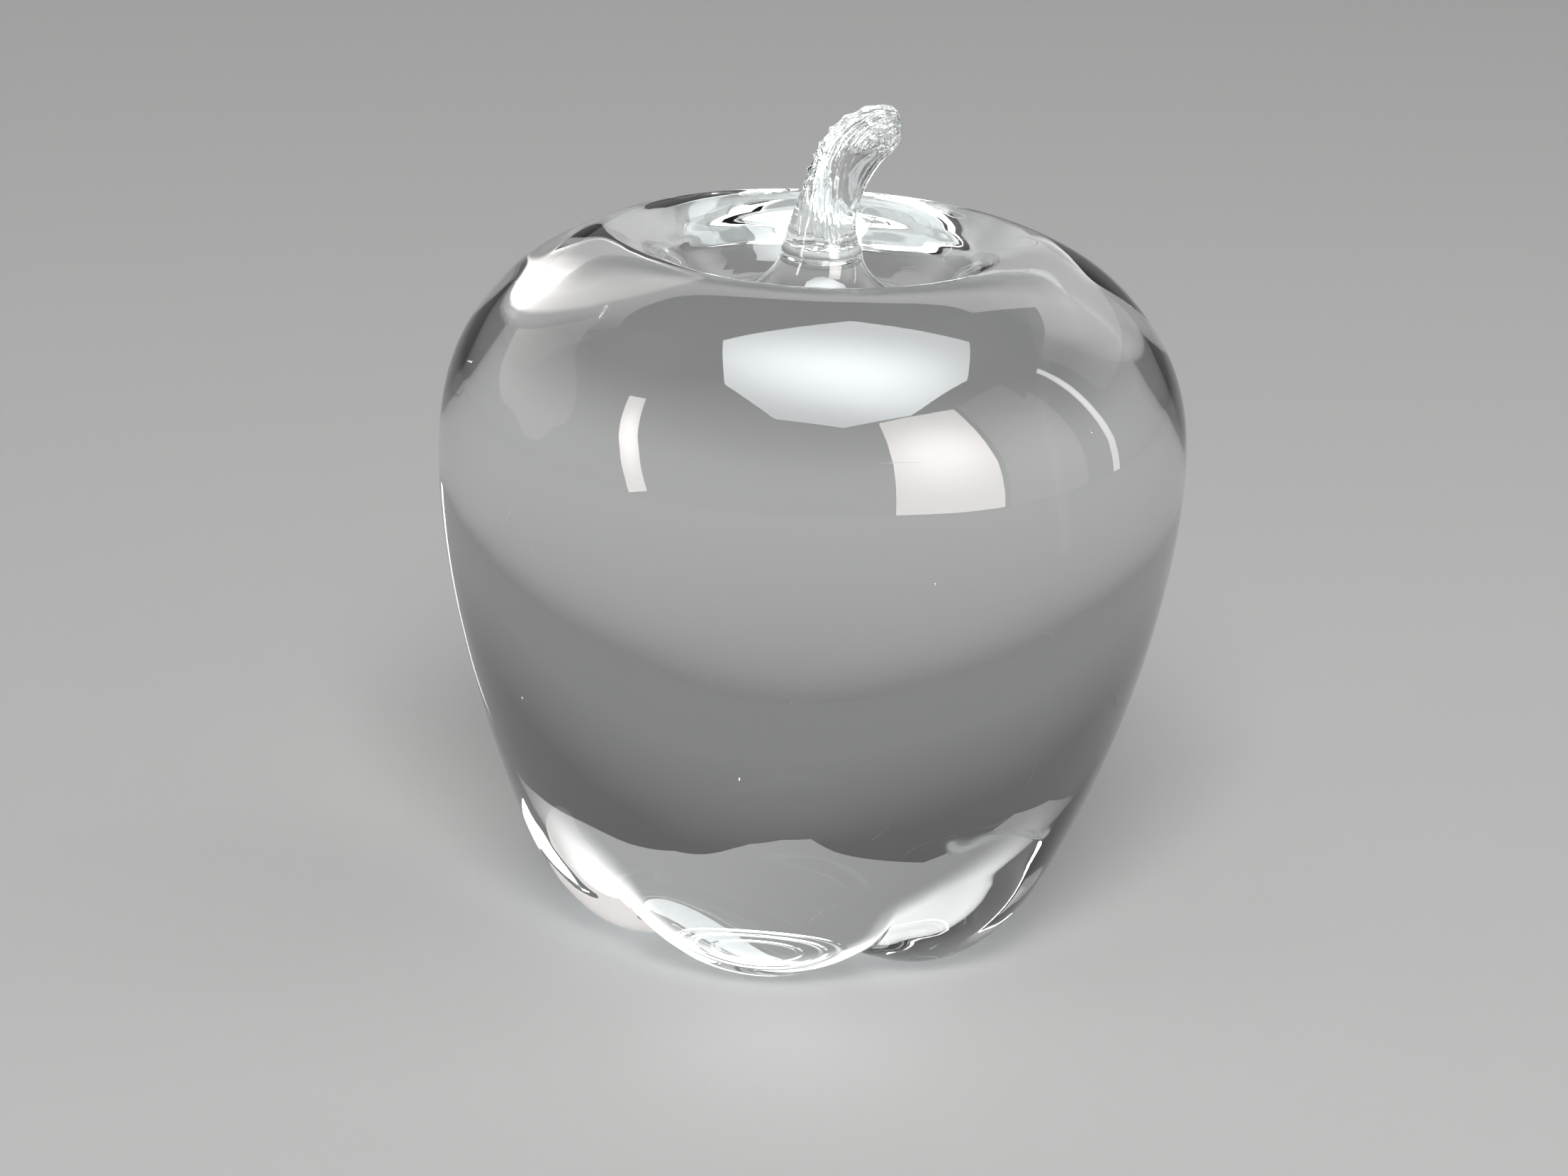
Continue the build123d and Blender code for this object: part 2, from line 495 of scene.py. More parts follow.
# Turn at the start and the end, share of the length at the start and the end, height, width in degrees
fold_lines = (
    (24, 36, 0.34, 0.97, -0.15, 3.0),
    (46, 54, 0.38, 0.93, -0.10, 2.6),
    (66, 92, 0.09, 0.36, 0.09, 3.2),
    (98, 118, 0.08, 0.33, -0.08, 3.0),
    (132, 150, 0.09, 0.40, 0.08, 3.4),
    (214, 240, 0.12, 0.60, -0.10, 3.4),
    (300, 318, 0.20, 0.90, 0.09, 3.6),
)
folds = np.zeros(len(place))
for turn_start, turn_end, start, end, height_mm, width in fold_lines:
    middle = between(turn_start, turn_end, (share_along - start) / (end - start)) + fold_waver * slow
    reach = zone(share_along, start, start + fold_fade, end - fold_fade, end)
    folds += height_mm * mm * bump_at(turn_degrees, middle, width) * reach
print("bead", in_mm(bead.max()), "mm,", len(fold_lines), "folds")

# %% The band of ridges
ridge_shares = (0.0, 0.12, 0.3, 0.5, 0.7, 0.9, 1.0)
ridges_from = (40, 50, 66, 88, 92, 84, 60)  # degrees
ridges_to = (60, 84, 124, 230, 286, 300, 300)
ridge_height = 0.25 * mm
ridge_level = 0.7  # this height of the pattern is level with the plain skin
ridges_round = 7.0  # swells of the noise in one radian round the stem
ridge_stretch = 5.5 * mm
ridge_twist = math.radians(75)
ridge_start, ridge_full = 1.8 * mm, 4.5 * mm
fine_scale = np.array([2.1, 2.1, 1.6])
fine_height = 0.55  # of the coarse ridges
edge = 11  # half the width of the band's soft edges, in degrees


def crests(points, seed):
    """Return crests of height 1, which run where smooth noise passes through zero."""
    sharpness = 2.4
    return 1 - np.minimum(np.abs(wave(points, 1, seed)) * sharpness, 1)


low_side = np.interp(share_along, ridge_shares, ridges_from)
high_side = np.interp(share_along, ridge_shares, ridges_to)
ridge_zone = zone(turn_degrees, low_side - edge, low_side + edge, high_side - edge, high_side + edge)
ridge_zone *= smooth_step(place, ridge_start, ridge_full)
twisted = turn_round - ridge_twist * share_along
ridge_points = np.stack([
    np.cos(twisted) * ridges_round, np.sin(twisted) * ridges_round, place / ridge_stretch,
], axis=1)
ridges = crests(ridge_points, 2.3) + fine_height * crests(ridge_points * fine_scale, 6.8)
ridges = (ridges - ridge_level) * ridge_height * ridge_zone
print("ridges up to", in_mm(ridges.max()), "mm")

# %% The teeth and the tip
tooth_pitch = 1.5 * mm
tooth_height = 0.28 * mm
tooth_waver = 0.4 * mm
tooth_turn, tooth_width = 182, 32  # degrees
tooth_zone = (0.30, 0.40, 0.80, 0.90)  # shares of the length
crumple_size = 1.0 * mm
crumple_height = 0.65 * mm
crumple_level = 0.45  # this height of the pattern is level with the plain skin
crumple_start, crumple_full = 0.74, 0.92  # shares of the length
smooth_turn, smooth_width, smooth_share = 20, 60, 0.65  # the crumple is weaker on the inner side
marks_end, marks_gone = 0.9, 1.5  # lean of the tip's rows, in radians

teeth = 0.5 + 0.5 * np.cos(2 * math.pi * (place + tooth_waver * slow) / tooth_pitch)
teeth = teeth ** 3 * bump_at(turn_degrees, tooth_turn, tooth_width) * tooth_height
teeth = teeth * zone(share_along, *tooth_zone)

crumple = np.array([noise.voronoi(Vector(p) / crumple_size)[0][0] for p in plain_skin]) - crumple_level
weaker = 1 - smooth_share * bump_at(turn_degrees, smooth_turn, smooth_width)
tip_weight = smooth_step(share_along, crumple_start, crumple_full) * weaker
# Rows with an inset lie on the weld, where the share along is 0, or on the cap, where it is 1.
tip_weight = np.where(inset < 1, share_along, tip_weight)

marks = bead + folds + (ridges + teeth) * (1 - smooth_step(lean, marks_end, marks_gone))
marks = marks * (inset == 1) + crumple * crumple_height * tip_weight
write_points(stem, plain_skin + outwards * marks[:, None])
print("marks from", in_mm(marks.min()), "to", in_mm(marks.max()), "mm")
close_shell(stem)

# %% [markdown]
# Air was caught when the hot bit touched the neck. It shows as a patch of flattened bubbles just above the
# weld, and a few tiny seeds float in the body. A bubble is a closed shell inside the glass. Its faces point
# into the bubble, which is outwards from the glass, so light leaves the glass there and enters it again. All
# of them are joined to the piece they lie in.

# %% Helpers for bubbles
def turn_inside_out(shell):
    """Turn the faces of a shell into it."""
    open_mesh(shell)
    bpy.ops.mesh.flip_normals()
    bpy.ops.object.mode_set(mode="OBJECT")


def flatten(shell, flatness):
    """Flatten a shell about its middle, and put its place into its mesh."""
    shell.scale = (1, 1, flatness)
    bpy.ops.object.transform_apply()


def make_bubble(place, width, flatness):
    """Add one bubble with its faces turned into it."""
    deselect_all()
    bpy.ops.mesh.primitive_uv_sphere_add(segments=20, ring_count=10, radius=width / 2, location=place)
    bubble = bpy.context.object
    flatten(bubble, flatness)
    turn_inside_out(bubble)
    return bubble


def join_to(piece, extras):
    """Join the extra objects to a piece and keep the piece's name."""
    take_up(piece)
    for extra in extras:
        extra.select_set(True)
    bpy.ops.object.join()
    print(len(extras), "shells joined to", piece.name)


# %% Bubbles at the weld
bubble_spread = 2.7 * mm
bubble_count = 24
bubble_level, level_waver = weld_height + 0.40 * mm, 0.15 * mm
bubble_width, width_waver = 0.62 * mm, 0.45 * mm
bubble_flatness = 0.5
golden_turn = math.radians(137.5)

weld_bubbles = []
for i in range(bubble_count):
    out = bubble_spread * math.sqrt((i + 0.5) / bubble_count)
    turn = i * golden_turn
    uneven = noise.noise(Vector((i * 0.71, 3.3, 1.9)))
    spot = Vector((out * math.cos(turn), out * math.sin(turn), bubble_level + uneven * level_waver))
    weld_bubbles.append(make_bubble(spot, bubble_width + uneven * width_waver, bubble_flatness))
print(len(weld_bubbles), "bubbles")

# %% The ring of air, where the edge of the bit rolled over on the neck
gap_radius = 3.72 * mm
gap_width = 1.22 * mm
gap_level = weld_height + 0.52 * mm
gap_flatness = 0.62
gap_waver = 0.3  # of its width

deselect_all()
bpy.ops.mesh.primitive_torus_add(
    major_segments=160, minor_segments=16, major_radius=gap_radius, minor_radius=gap_width / 2,
    location=(0, 0, gap_level),
)
gap = bpy.context.object
flatten(gap, gap_flatness)
gap_points = read_points(gap)
gap_out = np.hypot(gap_points[:, 0], gap_points[:, 1])
gap_spoke = gap_points[:, :2] / gap_out[:, None]
gap_wave = wave(np.insert(gap_spoke, 2, 0, axis=1), 0.45, 8.2)
gap_out = gap_radius + (gap_out - gap_radius) * (1 + gap_waver * gap_wave)
gap_points[:, :2] = gap_spoke * gap_out[:, None]
write_points(gap, gap_points)
turn_inside_out(gap)
join_to(stem, weld_bubbles + [gap])

# %% Seeds in the body
seed_spots = (
    (-30.0, -17.5, 34.0, 0.34), (-6.5, -33.0, 30.0, 0.40), (12.0, -20.0, 52.0, 0.30), (-18.0, 8.0, 60.0, 0.34),
    (24.0, 14.0, 38.0, 0.40), (5.0, 22.0, 66.0, 0.30), (28.0, -16.0, 66.0, 0.34),
)
seed_flatness = 0.8
join_to(body, [make_bubble(Vector(spot[:3]) * mm, spot[3] * mm, seed_flatness) for spot in seed_spots])

# %% [markdown]
# Both pieces are the same crystal, but their skins differ. The body was polished by the fire and has been
# handled since: faint wipe marks, a few hairline scratches and some pits. The stem keeps fine lines from
# the tool. Both skins are one shader node group with named inputs, so that each material sets its own
# amounts. The group puts out a roughness and a height, and the shader stays in the material. Each helper
# below adds a node to the tree that its value comes from and returns the output, so that a chain of nodes
# reads as a sum does.

# %% Helpers that add nodes
def add_node(tree, kind):
    """Add a node, set beside the earlier ones."""
    node = tree.nodes.new("ShaderNode" + kind)
    count = len(tree.nodes)
    node.location = (count % 9 * 230, count // 9 * -330)
    return node


def give(socket, value):
    """Give a socket a plain value, or link the output of another node to it."""
    if isinstance(value, bpy.types.NodeSocket):
        socket.id_data.links.new(value, socket)
    else:
        socket.default_value = value


def add_math(operation, first, second=0.0):
    """Add a math node for two numbers."""
    node = add_node(first.id_data, "Math")
    node.operation = operation
    give(node.inputs[0], first)
    give(node.inputs[1], second)
    return node.outputs[0]


def multiply(*values):
    """Return the product of two or more numbers."""
    product = values[0]
    for value in values[1:]:
        product = add_math("MULTIPLY", product, value)
    return product


def add_vector_math(operation, vector, second=(0, 0, 0)):
    """Add a vector math node. It gives a number for a length or a distance, and otherwise a vector."""
    node = add_node(vector.id_data, "VectorMath")
    node.operation = operation
    give(node.inputs[0], vector)
    give(node.inputs[1], second)
    return node.outputs["Value" if operation in ("LENGTH", "DISTANCE") else "Vector"]


def add_range(value, from_low, from_high, to_low, to_high):
    """Add a smooth Map Range node."""
    node = add_node(value.id_data, "MapRange")
    node.interpolation_type = "SMOOTHSTEP"
    for socket, number in zip(node.inputs, (value, from_low, from_high, to_low, to_high)):
        give(socket, number)
    return node.outputs["Result"]


def add_mapping(vector, kind="POINT", place=(0, 0, 0), turn=(0, 0, 0), scale=(1, 1, 1)):
    """Add a Mapping node. The kind TEXTURE measures in a frame with this place, turn and scale."""
    node = add_node(vector.id_data, "Mapping")
    node.vector_type = kind
    for socket, value in zip(node.inputs, (vector, place, turn, scale)):
        give(socket, value)
    return node.outputs["Vector"]


def add_noise(vector, scale, detail, stretch=(1, 1, 1)):
    """Add a noise texture whose pattern is scaled along the axes by these shares."""
    node = add_node(vector.id_data, "TexNoise")
    node.inputs["Scale"].default_value = scale
    node.inputs["Detail"].default_value = detail
    give(node.inputs["Vector"], add_mapping(vector, scale=stretch))
    return node.outputs["Fac"]


def add_mix(kind, share, first, second):
    """Blend two numbers, of the kind FLOAT, or two colours, of the kind RGBA."""
    node = add_node(share.id_data, "Mix")
    node.data_type = kind
    first_socket, result_socket = {"FLOAT": (2, 0), "RGBA": (6, 2)}[kind]
    give(node.inputs[0], share)
    give(node.inputs[first_socket], first)
    give(node.inputs[first_socket + 1], second)
    return node.outputs[result_socket]


def split_axes(vector):
    """Return the X, Y and Z of a vector."""
    node = add_node(vector.id_data, "SeparateXYZ")
    give(node.inputs[0], vector)
    return node.outputs


def object_place(tree):
    """Return the place in the object's frame, which is the shared frame for every piece."""
    return add_node(tree, "TexCoord").outputs["Object"]


def new_material(name):
    """Add a material. Return it, its tree and the sockets of its shader."""
    material = bpy.data.materials.new(name)
    material.use_nodes = True
    return material, material.node_tree, material.node_tree.nodes["Principled BSDF"].inputs


# %% The node group for handled glass
amount_names = ("Wipe Marks", "Hairlines", "Pits", "Tool Lines", "Swell")

skin_group = bpy.data.node_groups.new("handled_glass", "ShaderNodeTree")
skin_group.interface.new_socket("Coordinates", in_out="INPUT", socket_type="NodeSocketVector")
for name in amount_names:
    skin_group.interface.new_socket(name, in_out="INPUT", socket_type="NodeSocketFloat")
for name in ("Roughness", "Height"):
    skin_group.interface.new_socket(name, in_out="OUTPUT", socket_type="NodeSocketFloat")
given = skin_group.nodes.new("NodeGroupInput").outputs
result = skin_group.nodes.new("NodeGroupOutput").inputs
where = given["Coordinates"]
print("group inputs:", *amount_names)

# %% Wipe marks, hairline scratches, pits and tool lines
wipe = add_range(add_noise(where, 420, 3, (1, 1, 0.06)), 0.50, 0.72, 0, 1)
wipe_patch = add_range(add_noise(where, 38, 2), 0.45, 0.65, 0, 1)
wipe = multiply(wipe, wipe_patch, given["Wipe Marks"])

# A hairline follows the places where slow noise passes through one value, and shows only in a few patches.
hair = add_math("SUBTRACT", add_noise(where, 55, 1), 0.5)
hair = add_range(add_math("ABSOLUTE", hair), 0.0, 0.0022, 1, 0)
hair_patch = add_range(add_noise(where, 70, 0, (1, 1, 1.4)), 0.60, 0.64, 0, 1)
hair = multiply(hair, hair_patch, given["Hairlines"])

pit_texture = add_node(skin_group, "TexVoronoi")
pit_texture.inputs["Scale"].default_value = 260
give(pit_texture.inputs["Vector"], where)
pit = add_range(pit_texture.outputs["Distance"], 0.02, 0.06, 1, 0)
pit_patch = add_range(add_noise(where, 90, 0), 0.58, 0.66, 0, 1)
pit = multiply(pit, pit_patch, given["Pits"])
tool_line = multiply(add_noise(where, 1600, 2, (1, 1, 0.12)), given["Tool Lines"])
soft_swell = multiply(add_noise(where, 45, 2, (1, 1, 1.8)), given["Swell"])
print("marks in", len(skin_group.nodes), "nodes")

# %% What the group puts out
mark_share = 0.06  # how deep hairlines and pits are, next to the swell

roughness = 0.0
for mark, mark_roughness in ((wipe, 0.05), (hair, 0.45), (pit, 0.35)):
    roughness = add_math("MAXIMUM", multiply(mark, mark_roughness), roughness)
marks = multiply(add_math("ADD", hair, pit), mark_share)
skin_height = add_math("ADD", soft_swell, tool_line)
skin_height = add_math("SUBTRACT", skin_height, marks)
give(result["Roughness"], roughness)
give(result["Height"], skin_height)
print(len(skin_group.nodes), "nodes in the group")

# %% [markdown]
# Crystal is clear and colourless. The values that are the same all over stay on the shader's own sockets. The
# body's material adds one finish by its place: the feet are rubbed dull where they stand on the table.

# %% The two crystal materials
refractive_index = 1.52
crystal_tint = (0.945, 0.96, 0.955, 1)


def make_crystal(name, amounts, bump_distance, tint=crystal_tint, transmission=1.0):
    """Make a crystal material on the shared group. The amounts are in the order of the group's inputs."""
    material, tree, shader = new_material(name)
    shader["Base Color"].default_value = tint
    shader["IOR"].default_value = refractive_index
    shader["Transmission Weight"].default_value = transmission
    skin = add_node(tree, "Group")
    skin.node_tree = skin_group
    skin.name = "skin"
    give(skin.inputs["Coordinates"], object_place(tree))
    for amount_name, amount in zip(amount_names, amounts):
        skin.inputs[amount_name].default_value = amount
    bump = add_node(tree, "Bump")
    bump.inputs["Strength"].default_value = 1.0
    bump.inputs["Distance"].default_value = bump_distance
    give(bump.inputs["Height"], skin.outputs["Height"])
    give(shader["Normal"], bump.outputs["Normal"])
    give(shader["Roughness"], skin.outputs["Roughness"])
    return material


body_crystal = make_crystal("fire_polished_crystal", (0.6, 0.8, 0.7, 0.0, 1.0), 0.03 * mm)
stem_crystal = make_crystal("tooled_crystal", (0.2, 0.3, 1.0, 1.0, 0.3), 0.02 * mm)
print("materials:", body_crystal.name, stem_crystal.name)

# %% Dull feet
worn_below = 0.02 * mm
clear_above = 0.12 * mm

body_tree = body_crystal.node_tree
body_skin = body_tree.nodes["skin"].outputs
body_place = object_place(body_tree)
feet = add_range(split_axes(body_place)["Z"], worn_below, clear_above, 1, 0)
foot_grain = add_range(add_noise(body_place, 2500, 3), 0.3, 0.7, 0.2, 0.6)
rough = add_math("MAXIMUM", multiply(feet, foot_grain), body_skin["Roughness"])
give(body_tree.nodes["Principled BSDF"].inputs["Roughness"], rough)
print("foot finish added")

# %% [markdown]
# Low on the front lobe the glass shows three thin ellipses, one inside the other, like the print of a tool
# with a round end. They are too fine for the mesh, so they are lines in the bump's height. A Mapping node of
# the kind TEXTURE makes a frame whose unit is half the print's size, where each ellipse is a circle.

# %% The oval press mark
mark_place = Vector((-4.1, -28.3, 6.1)) * mm
mark_turn = (0, 0, math.radians(-8.2))
mark_half_size = Vector((9.6, 6.0, 3.2)) * mm
mark_rings = ((1.0, 1.8), (0.80, 2.4), (0.52, 1.5))  # size as a share, and height
ring_half_width = 0.07

in_mark = add_mapping(body_place, "TEXTURE", mark_place, mark_turn, mark_half_size)
from_middle = add_vector_math("MULTIPLY", in_mark, (1, 0, 1))
from_middle = add_vector_math("LENGTH", from_middle)
on_front = add_range(split_axes(in_mark)["Y"], 1.0, 1.4, 1, 0)
mark_height = body_skin["Height"]
for ring_size, ring_height in mark_rings:
    from_ring = add_math("SUBTRACT", from_middle, ring_size)
    from_ring = add_math("ABSOLUTE", from_ring)
    ring_line = add_range(from_ring, 0.0, ring_half_width, ring_height, 0)
    mark_height = add_math("ADD", mark_height, multiply(ring_line, on_front))
give(body_tree.nodes["Bump"].inputs["Height"], mark_height)
print(len(mark_rings), "rings in the press mark")

# %% [markdown]
# Where the stem is fused to the neck the two pieces share a flat face, and real glass has no surface there.
# The faces of that disc get a fully clear material on both pieces, so light goes straight on. The ring of air
# above it gets a paler, duller and nearly opaque crystal: a painted white that stands in for the bright
# reflection of the air ring. Then each piece is smoothed, rides on the root and stands for its CAD node.

# %% The weld and the painted white ring
weld_pass, _, weld_shader = new_material("weld_contact")
weld_shader["Alpha"].default_value = 0.0

# Painted white: the air ring's nearly opaque whitish crystal stands in for its bright reflection.
painted_white_ring = make_crystal("painted_white_ring_glass", (0.0, 0.0, 1.0, 1.0, 0.3), 0.03 * mm, (0.93, 0.95, 0.95, 1), 0.1)
painted_white_ring_tree = painted_white_ring.node_tree
ring_roughness = add_noise(object_place(painted_white_ring_tree), 1800, 2)
ring_roughness = add_range(ring_roughness, 0.3, 0.7, 0.3, 0.7)
give(painted_white_ring_tree.nodes["Principled BSDF"].inputs["Roughness"], ring_roughness)
print("materials:", weld_pass.name, painted_white_ring.name)

# %% Finish the pieces and put them in the frame
disc_tolerance = 0.002 * mm
ring_reach = 0.52  # of the ring's width, on each side of its middle
ring_low = 0.05 * mm
ring_high = 1.0 * mm
smooth_angle = math.radians(60)
weld_face = 1
ring_face = 2

for piece, node, finishes in (
    (body, "apple_body", (body_crystal, weld_pass)),
    (stem, "stem", (stem_crystal, weld_pass, painted_white_ring)),
):
    piece.data.materials.clear()
    for finish in finishes:
        piece.data.materials.append(finish)
    finish_of = np.zeros(len(piece.data.polygons), np.int32)
    for polygon in piece.data.polygons:
        out = math.hypot(polygon.center.x, polygon.center.y)
        rise = polygon.center.z - weld_height
        if abs(rise) < disc_tolerance and out < weld_radius:
            finish_of[polygon.index] = weld_face
        if piece is stem and abs(out - gap_radius) < gap_width * ring_reach and ring_low < rise < ring_high:
            finish_of[polygon.index] = ring_face
    piece.data.polygons.foreach_set("material_index", finish_of)
    take_up(piece)
    bpy.ops.object.shade_smooth_by_angle(angle=smooth_angle)
    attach(piece, "root")
    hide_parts(node)
    print(piece.name, "has", int((finish_of == weld_face).sum()), "weld faces and",
        int((finish_of == ring_face).sum()), "ring faces of", len(piece.data.polygons))

# %% [markdown]
# The stage is a plain pale floor that fades into the world far away, so that no edge of it shows through the
# glass. One patch of it, in front and to the right, is painted light: it glows only where it is seen through
# the glass. This painted glow gives the shoulder its white gleam.

# %% The floor
floor_radius = 2.5
floor_drop = 0.1 * mm  # just under the feet, so that two faces do not share one plane
floor_color = (0.46, 0.46, 0.455, 1)
fade_from, fade_to = 0.5, 1.8
# The painted glow patch: its middle, its inner and outer radii, and the strength of its glow
painted_glow_place = (0.15, -0.34, 0)
painted_glow_inner, painted_glow_outer = 0.08, 0.26
painted_glow_strength = 2.4
warm = (1.0, 0.94, 0.92)

deselect_all()
bpy.ops.mesh.primitive_circle_add(
    vertices=96, radius=floor_radius, fill_type="NGON", location=(0, 0, -floor_drop),
)
floor = bpy.context.object
floor.name = "floor"
floor_material, floor_tree, floor_shader = new_material("plain_floor")
floor_shader["Base Color"].default_value = floor_color
floor_shader["Roughness"].default_value = 0.6
floor_shader["Specular IOR Level"].default_value = 0.0
floor_place = object_place(floor_tree)
floor_fade = add_vector_math("LENGTH", floor_place)
give(floor_shader["Alpha"], add_range(floor_fade, fade_from, fade_to, 1, 0))

# Painted light: this patch of floor glows, and only rays that came through the glass see it.
painted_glow_patch = add_vector_math("DISTANCE", floor_place, painted_glow_place)
painted_glow_patch = add_range(painted_glow_patch, painted_glow_inner, painted_glow_outer, painted_glow_strength, 0)
path = add_node(floor_tree, "LightPath").outputs
through_glass = add_math("GREATER_THAN", path["Transmission Depth"], 0.5)
give(floor_shader["Emission Strength"], multiply(painted_glow_patch, through_glass))
floor_shader["Emission Color"].default_value = (*warm, 1)
floor.data.materials.append(floor_material)
print("floor", floor_radius * 2, "m across")

# %% [markdown]
# The world is a pale haze at the horizon that grows dark overhead. Only rays from the camera and through or
# off the glass see it, and everything else gets an even fill, so the lighting stays plain. Clear glass needs
# something dark and something bright round it, or it disappears.

# %% The world
fill_tone = 0.18
# Height of the ray as a sine, and the grey seen there
sky_tones = ((0.0, 0.235), (0.04, 0.23), (0.10, 0.18), (0.17, 0.11), (0.55, 0.05), (0.85, 0.10), (1.0, 0.16))

world = bpy.data.worlds.new("studio")
bpy.context.scene.world = world
world.use_nodes = True
sky_tree = world.node_tree
ray_direction = add_node(sky_tree, "TexCoord").outputs["Generated"]
ramp = add_node(sky_tree, "ValToRGB")
give(ramp.inputs["Fac"], split_axes(ray_direction)["Z"])
for spot, _ in sky_tones[1:-1]:
    ramp.color_ramp.elements.new(spot)
for element, (spot, tone) in zip(ramp.color_ramp.elements, sky_tones):
    element.position = spot
    element.color = (tone, tone, tone, 1)
path = add_node(sky_tree, "LightPath").outputs
seen = add_math("MAXIMUM", path["Is Camera Ray"], path["Is Glossy Ray"])
seen = add_math("MAXIMUM", seen, path["Is Transmission Ray"])
sky = add_mix("RGBA", seen, (fill_tone, fill_tone, fill_tone, 1), ramp.outputs["Color"])
give(sky_tree.nodes["Background"].inputs["Color"], sky)
print("world with", len(ramp.color_ramp.elements), "tones")

# %% [markdown]
# What makes glass look like glass is what it mirrors and bends. The lamps stay hidden from the glass, and most
# of them have a glowing card in their place. The card's strength is chosen by the Light Path: one tone for its
# mirror image on the skin, one for what is seen through the piece, and one for the light that it throws on the
# floor through the glass. Glass that is seen straight on mirrors only a twenty-fifth of a light.

# %% Glowing cards
def card_material(name, color, strength_of):
    """Make a glowing material. The function that is passed adds the nodes for its strength."""
    material, tree, _ = new_material(name)
    tree.nodes.remove(tree.nodes["Principled BSDF"])
    emission = add_node(tree, "Emission")
    emission.inputs["Color"].default_value = (*color, 1)
    give(emission.inputs["Strength"], strength_of(tree))
    give(tree.nodes["Material Output"].inputs["Surface"], emission.outputs[0])
    return material


def hide_card(card):
    """Let only rays in and off the glass see a card."""
    card.visible_camera = card.visible_diffuse = card.visible_shadow = False


def hang_card(name, place, turn, width, height, color, tones, corners, rim_share):
    """Hang a flat card with this number of corners. Its mirror image grows darker towards its ends."""
    half_corner = math.pi / corners
    deselect_all()
    bpy.ops.mesh.primitive_circle_add(
        vertices=corners, radius=0.5 / math.cos(half_corner), fill_type="NGON", rotation=(0, 0, half_corner),
    )
    card = bpy.context.object
    card.name = name + "_card"
    bpy.ops.object.transform_apply()
    card.location, card.rotation_euler, card.scale = place, turn, (width, height, 1)
    bpy.ops.object.transform_apply()
    glint, through, thrown = tones
    glint_size = (1.8 * width, height, 1)

    def strength_of(tree):
        on_card = add_mapping(object_place(tree), "TEXTURE", place, turn, glint_size)
        off_glass = add_vector_math("LENGTH", on_card)
        off_glass = add_range(off_glass, 0.0, 0.5, glint, glint * rim_share)
        path = add_node(tree, "LightPath").outputs
        inside = add_math("GREATER_THAN", path["Transmission Depth"], 0.5)
        floor_first = add_math("GREATER_THAN", path["Diffuse Depth"], 0.5)
        seen = add_mix("FLOAT", inside, off_glass, through)
        return add_mix("FLOAT", floor_first, seen, thrown)

    card.data.materials.append(card_material(name + "_glow", color, strength_of))
    hide_card(card)


# %% Soft lights
watts_per_area = 4


def soft_panel(
    name, place, target, width, height, radiance, color, tones=None, turned=0.0, corners=4, rim_share=0.55,
):
    """Hang a soft light, and a card in its place that only shows in and off the glass."""
    data = bpy.data.lights.new(name, "AREA")
    data.shape = "RECTANGLE"
    data.size, data.size_y, data.color = width, height, color
    data.energy = radiance * watts_per_area * width * height
    light = add_object(name, data)
    light.location = place
    aim = (Vector(target) - Vector(place)).to_track_quat("-Z", "Y").to_matrix().to_4x4()
    light.rotation_euler = (aim @ Matrix.Rotation(turned, 4, "Z")).to_euler()
    light.visible_camera = light.visible_glossy = light.visible_transmission = False
    if tones:
        hang_card(name, place, light.rotation_euler, width, height, color, tones, corners, rim_share)


def stand_panel(name, azimuths, distance, elevations, radiance, color, tones=None):
    """Stand an upright panel that fills these angles in degrees. Azimuth 0 is behind the apple."""
    turn = math.radians(sum(azimuths) / 2)
    width = 2 * distance * math.tan(math.radians(azimuths[1] - azimuths[0]) / 2)
    low, high = [distance * math.tan(math.radians(angle)) + aim_height for angle in elevations]
    place = Vector((math.sin(turn) * distance, math.cos(turn) * distance, (low + high) / 2))
    soft_panel(name, place, (0, 0, place.z), width, high - low, radiance, color, tones)


# The three tones of a card: off the glass, through it, and thrown on the floor
cool, plain = (0.93, 0.98, 1.0), (1.0, 1.0, 1.0)
soft_panel(
    "softbox", (0.10, -0.22, 0.83), (0.10, -0.22, 0), 0.79, 1.02, 0.6, cool, (18, 8.5, 5.0),
    turned=math.radians(-14), corners=8, rim_share=0.35,
)
stand_panel("window", (121, 155), 0.9, (-2, 49), 1.2, warm, (15, 0.9, 4.0))
stand_panel("dim_window", (89, 119), 0.9, (-2, 49), 0.5, plain, (1.5, 0.35, 0.5))
stand_panel("strip_right", (74.5, 77.5), 0.9, (-2, 52), 2.2, plain, (8, 5.0, 1.0))
soft_panel(
    "strip_left", (-0.787, -0.436, 0.43), (0, 0, 0.43), 0.10, 0.84, 2.2, warm, (16, 1.5, 2.0),
    turned=math.radians(19),
)
stand_panel("back", (-24, 24), 1.7, (11.5, 50), 0.4, plain)
stand_panel("wing_right", (30, 100), 0.8, (44, 70), 0.2, plain, (0.3, 6.0, 0.5))
stand_panel("wing_left", (-105, -60), 0.8, (44, 66), 0.2, plain, (0.3, 4.0, 0.5))
soft_panel("key", (0, -2.4, 1.93), (0, 0, 0.03), 1.0, 1.0, 19.0, plain)

# %% [markdown]
# Behind the apple stands a bright wall, whose lower edge rises and falls. The base of the apple bends it into
# the bright band over the feet, and the wavy upper edge of that band is the wall's lower edge, seen upside
# down through the lobes. The wall grows brighter upwards, because its top is what the hollow mirrors.

# %% The bright wall behind
wall_distance = 1.7
wall_top = 50
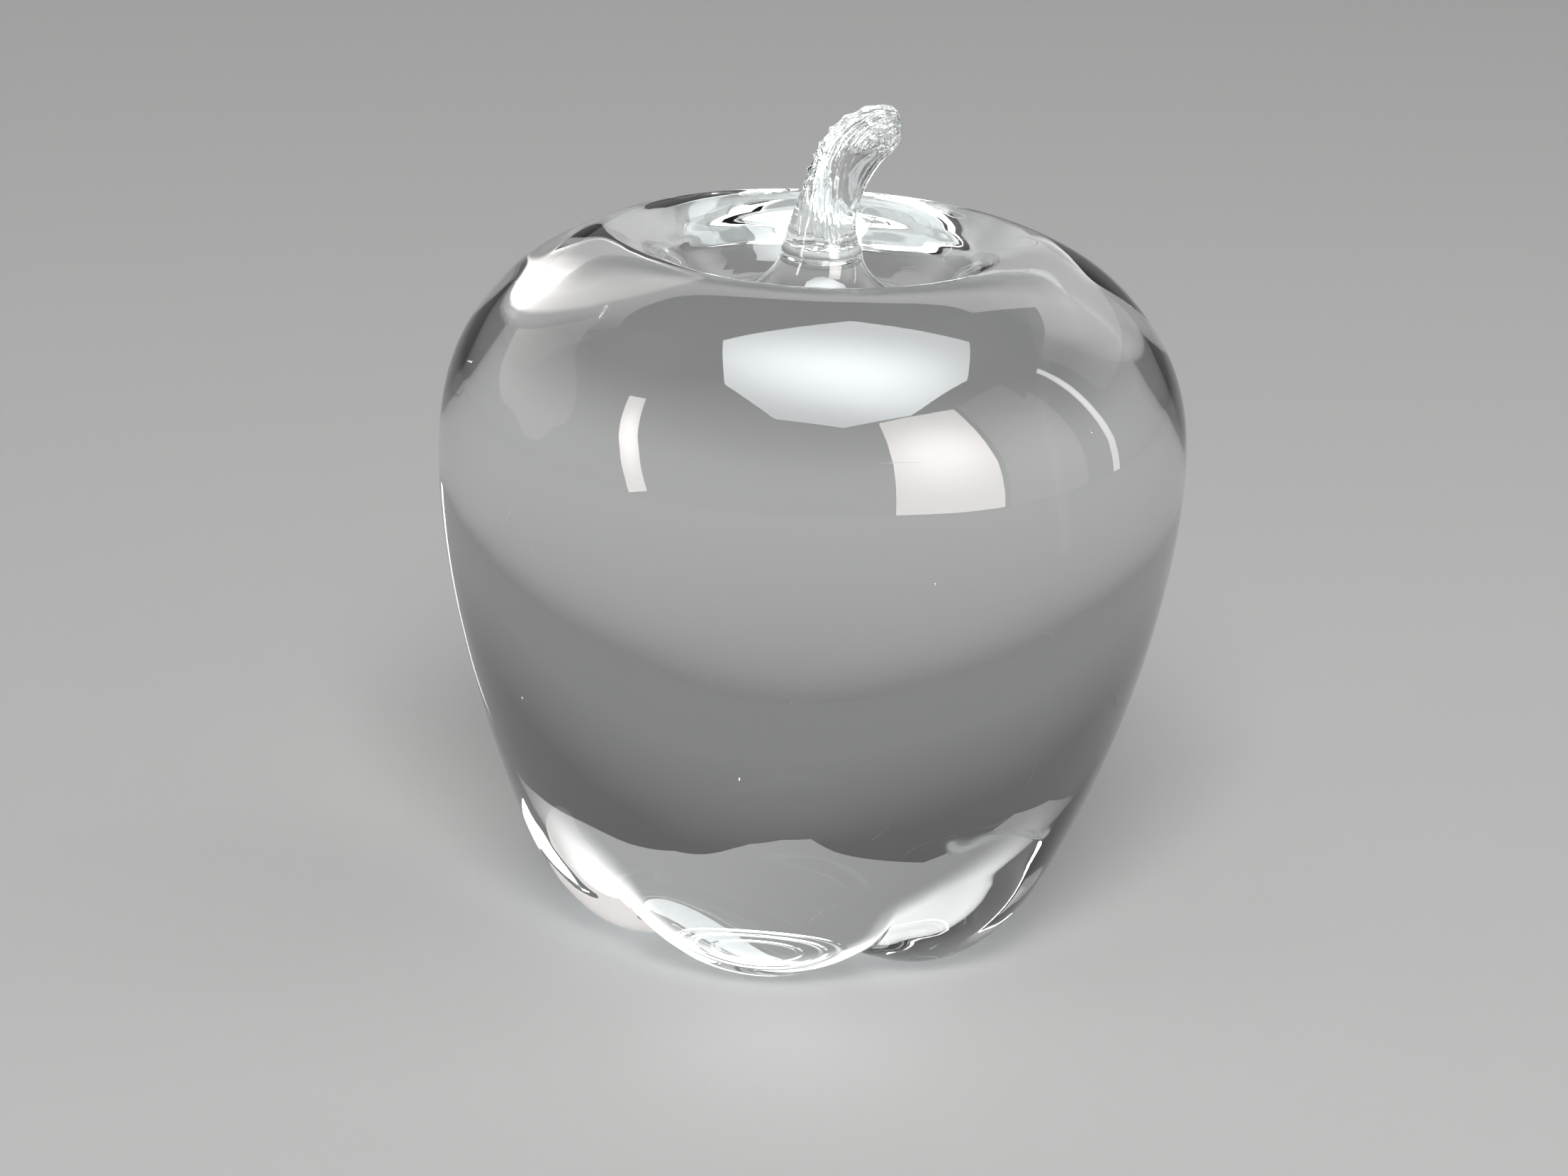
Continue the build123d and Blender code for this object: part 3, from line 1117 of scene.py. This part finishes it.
# Azimuth and elevation of the lower edge, in degrees
wall_edge = (
    (-66, 23), (-58, 20), (-46, 15.6), (-35, 13.3), (-27, 14.8), (-20, 16), (-11, 11.9), (-7, 9.9), (-3.5, 7.8),
    (0, 7.5), (4, 7.8), (8, 8.9), (15, 10.6), (24, 13.7), (34, 16), (52, 20), (66, 23),
)
thrown_gain = 9.0


def wall_point(azimuth, elevation):
    """Return the place on the wall at these angles in degrees."""
    turn = math.radians(azimuth)
    rise = wall_distance * math.tan(math.radians(elevation)) + aim_height
    return wall_distance * math.sin(turn), wall_distance * math.cos(turn), rise


def wall_strength(tree):
    """Add the nodes for how bright the wall is at each place."""
    axes = split_axes(object_place(tree))
    width = add_math("ABSOLUTE", axes["X"])
    rise = add_math("ADD", axes["Z"], add_range(width, 0.3, 1.1, 0.0, 0.45))
    upwards = add_range(rise, 0.9, 1.6, 0.40, 1.9)
    sideways = add_range(axes["X"], -0.9, 0.6, 0.75, 1.0)
    ends = add_range(width, 1.1, 1.5, 1.0, 0.35)
    # The high middle of the wall throws more on the floor, for the pool of light in front of the apple.
    path = add_node(tree, "LightPath").outputs
    thrown = add_math("GREATER_THAN", path["Diffuse Depth"], 0.5)
    lamp_low = add_range(axes["Z"], 1.15, 1.3, 0.0, thrown_gain)
    lamp_high = add_range(axes["Z"], 1.7, 1.85, 1.0, 0.0)
    lamp_sides = add_range(width, 0.15, 0.35, 1.0, 0.0)
    lamp = add_math("ADD", multiply(lamp_low, lamp_high, lamp_sides, thrown), 1.0)
    return multiply(upwards, sideways, ends, lamp)


edge_count = len(wall_edge)
wall_mesh = bpy.data.meshes.new("wall_card")
wall_mesh.from_pydata(
    [wall_point(turn, low) for turn, low in wall_edge]
    + [wall_point(turn, wall_top) for turn, _ in wall_edge],
    [],
    [(i, i + 1, i + 1 + edge_count, i + edge_count) for i in range(edge_count - 1)],
)
wall = add_object("wall_card", wall_mesh)
wall_mesh.materials.append(card_material("wall_glow", plain, wall_strength))
hide_card(wall)
print("wall of", edge_count - 1, "strips")

# %% [markdown]
# Rays that wander through the glass may meet a bright card by chance and leave a white speck. A limit on such
# light keeps them down.

# %% The limit on stray light
bpy.context.scene.cycles.sample_clamp_indirect = 45
